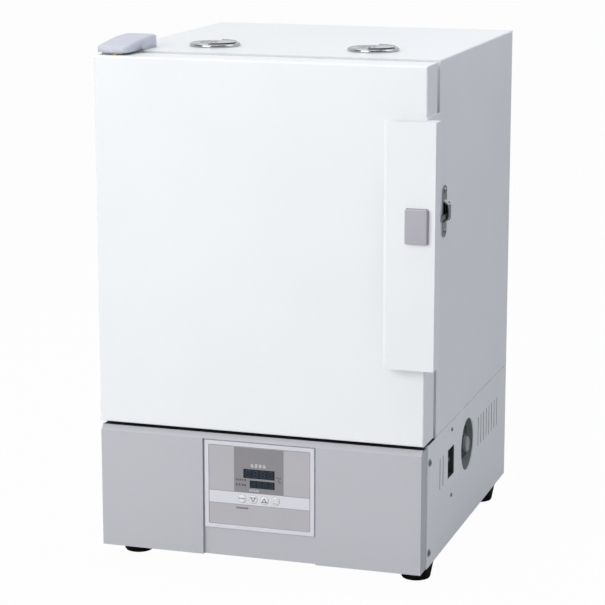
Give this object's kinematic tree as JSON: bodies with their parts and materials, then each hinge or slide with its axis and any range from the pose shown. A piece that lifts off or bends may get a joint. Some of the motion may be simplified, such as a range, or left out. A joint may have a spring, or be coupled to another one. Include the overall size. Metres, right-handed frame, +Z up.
{
  "type": "natural convection drying oven",
  "caption": "Benchtop laboratory drying oven with an insulated chamber, a hinged door with a handle and release button, wire shelves, top vents and controls in its base",
  "frame": {"origin": "on the floor, under the middle of the bounding box", "axes": "+X right, -Y front (the door), +Z up; the longest extent is along Z"},
  "size_m": [0.4174, 0.48, 0.633],
  "materials": {
    "case_paint": "powder coat, off-white, fine orange peel",
    "door_paint": "powder coat, white, smooth",
    "panel_paint": "powder coat, light grey",
    "deck_paint": "matt black",
    "cup_paint": "grey",
    "foot_rubber": "moulded black",
    "bezel_plastic": "moulded, light grey",
    "window_plastic": "printed overlay, grey",
    "strip_plastic": "printed overlay, light grey",
    "black_plastic": "moulded black",
    "dark_plastic": "moulded dark",
    "board_plastic": "laminate, green",
    "knob_plastic": "moulded grey",
    "screw_steel": "zinc plated",
    "stainless": "stainless sheet, fine brushed",
    "glass_wool": "glass wool",
    "heater_steel": "oxidised sheath",
    "hinge_steel": "zinc plated",
    "hinge_dark": "black",
    "cover_plastic": "moulded, light blue-grey",
    "bush_brass": "turned",
    "gasket_silicone": "silicone, grey-green",
    "button_plastic": "moulded grey",
    "keeper_chrome": "bright chrome",
    "vent_chrome": "polished stainless",
    "display_dark": "dark window with seven-segment digits, off",
    "key_plastic": "moulded, light grey",
    "key_amber": "moulded, light grey with a warm band",
    "shelf_steel": "electropolished wire"
  },
  "bodies": {
    "case": {"base_shell": "case_paint", "base_front_panel": "panel_paint", "base_deck": "deck_paint", "rear_panel_lower": "case_paint", "rubber_feet": "foot_rubber", "control_bezel": "bezel_plastic", "control_window": "window_plastic", "key_strip": "strip_plastic", "controller_case": "black_plastic", "control_board": "board_plastic", "breaker_body": "black_plastic", "dial_cup": "cup_paint", "thermostat_body": "black_plastic", "side_panel_screws": "screw_steel", "bracket_screws": "screw_steel", "solid_state_relay": "black_plastic", "cable_gland": "black_plastic", "case_shell": "case_paint", "rear_panel_upper": "case_paint", "front_frame": "stainless", "chamber_liner": "stainless", "insulation": "glass_wool", "heater_element": "heater_steel", "floor_plate": "stainless", "temperature_sensors": "stainless", "exhaust_tubes": "stainless", "hinge_plate_upper": "hinge_steel", "hinge_plate_lower": "hinge_dark", "hinge_pins": "hinge_steel", "hinge_cover": "cover_plastic", "keeper": "keeper_chrome", "keeper_screws": "keeper_chrome", "display_upper": "display_dark", "display_lower": "display_dark", "shelf_rail_left": "stainless", "shelf_rail_right": "stainless", "vent_cap_left": "vent_chrome", "vent_cap_right": "vent_chrome"},
    "door": {"door_skin": "door_paint", "door_bushes": "bush_brass", "door_inner_pan": "stainless", "door_insulation": "glass_wool", "door_gasket": "gasket_silicone", "handle_bracket": "door_paint", "handle_shell": "door_paint", "button_housing": "black_plastic", "pawl_pin": "hinge_steel"},
    "release_button_body": {"release_button": "button_plastic"},
    "latch_pawl_body": {"latch_pawl": "hinge_steel"},
    "shelf_lower_body": {"shelf_lower": "shelf_steel"},
    "shelf_upper_body": {"shelf_upper": "shelf_steel"},
    "vent_damper_left_body": {"vent_damper_left": "vent_chrome"},
    "vent_damper_right_body": {"vent_damper_right": "vent_chrome"},
    "key_mode_body": {"key_mode": "key_plastic"},
    "key_down_body": {"key_down": "key_plastic"},
    "key_up_body": {"key_up": "key_plastic"},
    "key_start_body": {"key_start": "key_amber"},
    "breaker_lever_body": {"breaker_lever": "dark_plastic"},
    "thermostat_knob_body": {"thermostat_knob": "knob_plastic"}
  },
  "joints": [
    {"name": "door_hinge", "type": "hinge", "parent": "case", "child": "door", "pos_m": [-0.18775, -0.189, 0.174], "axis": [0, 0, -1], "range_deg": [0, 120]},
    {"name": "button_press", "type": "slide", "parent": "door", "child": "release_button_body", "axis": [0, 1, 0], "range_m": [0, 0.003], "stiffness_N_per_m": 400, "springref_m": -0.002},
    {"name": "pawl_pivot", "type": "hinge", "parent": "door", "child": "latch_pawl_body", "pos_m": [0.19625, -0.218, 0.471], "axis": [1, 0, 0], "range_deg": [0, 5.46], "stiffness_Nm_per_rad": 0.2},
    {"name": "lower_shelf_slide", "type": "slide", "parent": "case", "child": "shelf_lower_body", "axis": [0, -1, 0], "range_m": [0, 0.02]},
    {"name": "upper_shelf_slide", "type": "slide", "parent": "case", "child": "shelf_upper_body", "axis": [0, -1, 0], "range_m": [0, 0.02]},
    {"name": "left_damper_turn", "type": "hinge", "parent": "case", "child": "vent_damper_left_body", "pos_m": [-0.10575, -0.078, 0.622], "axis": [0, 0, 1], "range_deg": [0, 180]},
    {"name": "right_damper_turn", "type": "hinge", "parent": "case", "child": "vent_damper_right_body", "pos_m": [0.09225, -0.078, 0.622], "axis": [0, 0, 1], "range_deg": [0, 180]},
    {"name": "mode_key_press", "type": "slide", "parent": "case", "child": "key_mode_body", "axis": [0, 1, 0], "range_m": [0, 0.0008], "stiffness_N_per_m": 400, "springref_m": -0.002},
    {"name": "down_key_press", "type": "slide", "parent": "case", "child": "key_down_body", "axis": [0, 1, 0], "range_m": [0, 0.0008], "stiffness_N_per_m": 400, "springref_m": -0.002},
    {"name": "up_key_press", "type": "slide", "parent": "case", "child": "key_up_body", "axis": [0, 1, 0], "range_m": [0, 0.0008], "stiffness_N_per_m": 400, "springref_m": -0.002},
    {"name": "start_key_press", "type": "slide", "parent": "case", "child": "key_start_body", "axis": [0, 1, 0], "range_m": [0, 0.0008], "stiffness_N_per_m": 400, "springref_m": -0.002},
    {"name": "breaker_toggle", "type": "hinge", "parent": "case", "child": "breaker_lever_body", "pos_m": [0.18075, -0.0786, 0.124], "axis": [0, 1, 0], "range_deg": [0, 30]},
    {"name": "thermostat_turn", "type": "hinge", "parent": "case", "child": "thermostat_knob_body", "pos_m": [0.19325, 0.008, 0.123], "axis": [1, 0, 0], "range_deg": [-150, 150]}
  ],
  "couplings": [
    {"joint": "pawl_pivot", "follows": "button_press", "rad_per_m": 31.747}
  ]
}
